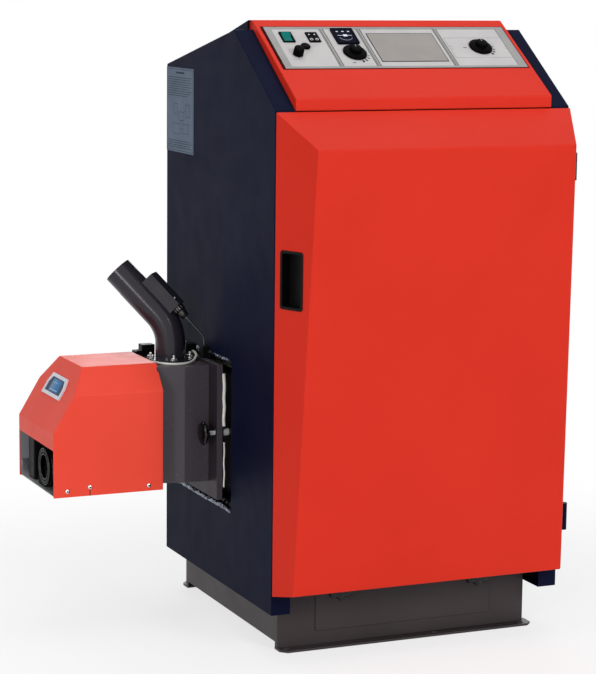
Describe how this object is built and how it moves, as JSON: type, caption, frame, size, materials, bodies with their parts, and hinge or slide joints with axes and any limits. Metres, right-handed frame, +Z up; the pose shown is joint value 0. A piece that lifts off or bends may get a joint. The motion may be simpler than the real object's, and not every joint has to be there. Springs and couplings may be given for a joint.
{
  "type": "pellet boiler",
  "caption": "Floor-standing pellet boiler: five-sided sheet casing on a raised base, bevelled front door, sloping control console and a swing-out burner with inlet elbow on the left.",
  "frame": {"origin": "on the floor, at the centre of the four floor bolt holes in the foot rails", "axes": "+Z up, -Y towards the front door, -X towards the burner"},
  "size_m": [0.9902, 0.7397, 1.21],
  "materials": {
    "side_panel_paint": "satin, fine texture",
    "door_paint": "semi-gloss",
    "base_paint": "satin",
    "burner_grey_paint": "satin",
    "boiler_steel": "matt, heat-resistant",
    "bare_steel": "bare sheet",
    "zinc_steel": "bright zinc",
    "console_grey": "satin",
    "console_edge_grey": "satin",
    "window_grey": "matt",
    "black_plastic": "matt",
    "black_gloss": "glossy",
    "rocker_green": "translucent green",
    "thermometer_blue": "glossy",
    "label_grey": "printed film, left blank",
    "mineral_wool": "foil-faced mineral wool",
    "glass_rope": "woven glass rope",
    "screen_glass": "backlit display",
    "white_plastic": "satin",
    "black_cable": "matt",
    "white_cable": "matt",
    "ceramic": "matt"
  },
  "bodies": {
    "boiler": {"base_frame": "base_paint", "ash_lid": "base_paint", "ash_pan": "bare_steel", "boiler_vessel": "boiler_steel", "inner_vessel": "boiler_steel", "turbulators": "bare_steel", "exchanger_lid": "boiler_steel", "cleaning_cover": "boiler_steel", "cover_nuts": "zinc_steel", "flue_spigot": "bare_steel", "water_sockets": "bare_steel", "burner_collar": "base_paint", "side_panel_left": "side_panel_paint", "side_panel_right": "side_panel_paint", "rear_panel": "side_panel_paint", "top_cover": "side_panel_paint", "casing_insulation": "mineral_wool", "console_housing": "door_paint", "console_frame": "console_edge_grey", "console_plates": "console_grey", "regulator_blank": "window_grey", "switch_frame": "black_plastic", "signal_block": "black_gloss", "thermometer": "thermometer_blue", "type_label": "label_grey", "panel_screws": "zinc_steel", "door_hinge_brackets": "side_panel_paint"},
    "front_door": {"door_panel": "door_paint", "door_liner": "bare_steel", "door_insulation": "mineral_wool", "door_handle_cup": "black_plastic", "door_hinge_leaves": "side_panel_paint"},
    "burner": {"burner_plate": "burner_grey_paint", "burner_rope": "glass_rope", "combustion_tube": "bare_steel", "igniter": "ceramic", "burner_housing": "burner_grey_paint", "burner_cover": "door_paint", "burner_tray": "bare_steel", "fan_housing": "black_plastic", "fan_motor": "bare_steel", "control_box": "black_plastic", "display_bezel": "white_plastic", "display_screen": "screen_glass", "pellet_elbow": "burner_grey_paint", "burner_screws": "zinc_steel", "sensor_box": "burner_grey_paint", "sensor_gland": "black_plastic", "plug_connectors": "black_plastic", "sensor_cable": "black_cable", "igniter_cable": "white_cable"},
    "fan_impeller": {"fan_impeller": "bare_steel"},
    "burner_knob": {"burner_knob": "black_gloss"},
    "ash_knob_left": {"ash_knob_left": "black_gloss"},
    "ash_knob_right": {"ash_knob_right": "black_gloss"},
    "boiler_knob": {"boiler_knob": "black_plastic"},
    "pump_knob": {"pump_knob": "black_plastic"},
    "switch_rocker": {"switch_rocker": "rocker_green"},
    "safety_cap": {"safety_cap": "black_plastic"},
    "fuse_cap": {"fuse_cap": "black_plastic"}
  },
  "joints": [
    {"name": "door_hinge", "type": "hinge", "parent": "boiler", "child": "front_door", "pos_m": [0.3205, -0.316, 0.587], "axis": [0, 0, 1], "range_deg": [0, 110]},
    {"name": "burner_hinge", "type": "hinge", "parent": "boiler", "child": "burner", "pos_m": [-0.321, 0.18775, 0.4], "axis": [0, 0, 1], "range_deg": [-90, 0]},
    {"name": "burner_knob_turn", "type": "hinge", "parent": "burner", "child": "burner_knob", "pos_m": [-0.355, -0.06625, 0.4005], "axis": [1, 0, 0], "continuous": true},
    {"name": "ash_knob_left_turn", "type": "hinge", "parent": "boiler", "child": "ash_knob_left", "pos_m": [-0.15, -0.27325, 0.125], "axis": [0, 1, 0], "continuous": true},
    {"name": "ash_knob_right_turn", "type": "hinge", "parent": "boiler", "child": "ash_knob_right", "pos_m": [0.15, -0.27325, 0.125], "axis": [0, 1, 0], "continuous": true},
    {"name": "boiler_knob_turn", "type": "hinge", "parent": "boiler", "child": "boiler_knob", "pos_m": [-0.0955, -0.19299, 1.14874], "axis": [0, -0.543, 0.8397], "range_deg": [-135, 135]},
    {"name": "pump_knob_turn", "type": "hinge", "parent": "boiler", "child": "pump_knob", "pos_m": [0.1835, -0.17829, 1.15824], "axis": [0, -0.543, 0.8397], "range_deg": [-135, 135]},
    {"name": "rocker_tip", "type": "hinge", "parent": "boiler", "child": "switch_rocker", "pos_m": [-0.2185, -0.14755, 1.17515], "axis": [1, 0, 0], "range_deg": [-18, 0]},
    {"name": "safety_cap_turn", "type": "hinge", "parent": "boiler", "child": "safety_cap", "pos_m": [-0.2157, -0.19618, 1.14667], "axis": [0, -0.543, 0.8397], "continuous": true},
    {"name": "fuse_cap_turn", "type": "hinge", "parent": "boiler", "child": "fuse_cap", "pos_m": [-0.191, -0.17494, 1.16041], "axis": [0, -0.543, 0.8397], "range_deg": [0, 90]},
    {"name": "fan_spin", "type": "hinge", "parent": "burner", "child": "fan_impeller", "pos_m": [-0.622, 0.03375, 0.336], "axis": [1, 0, 0], "continuous": true}
  ]
}
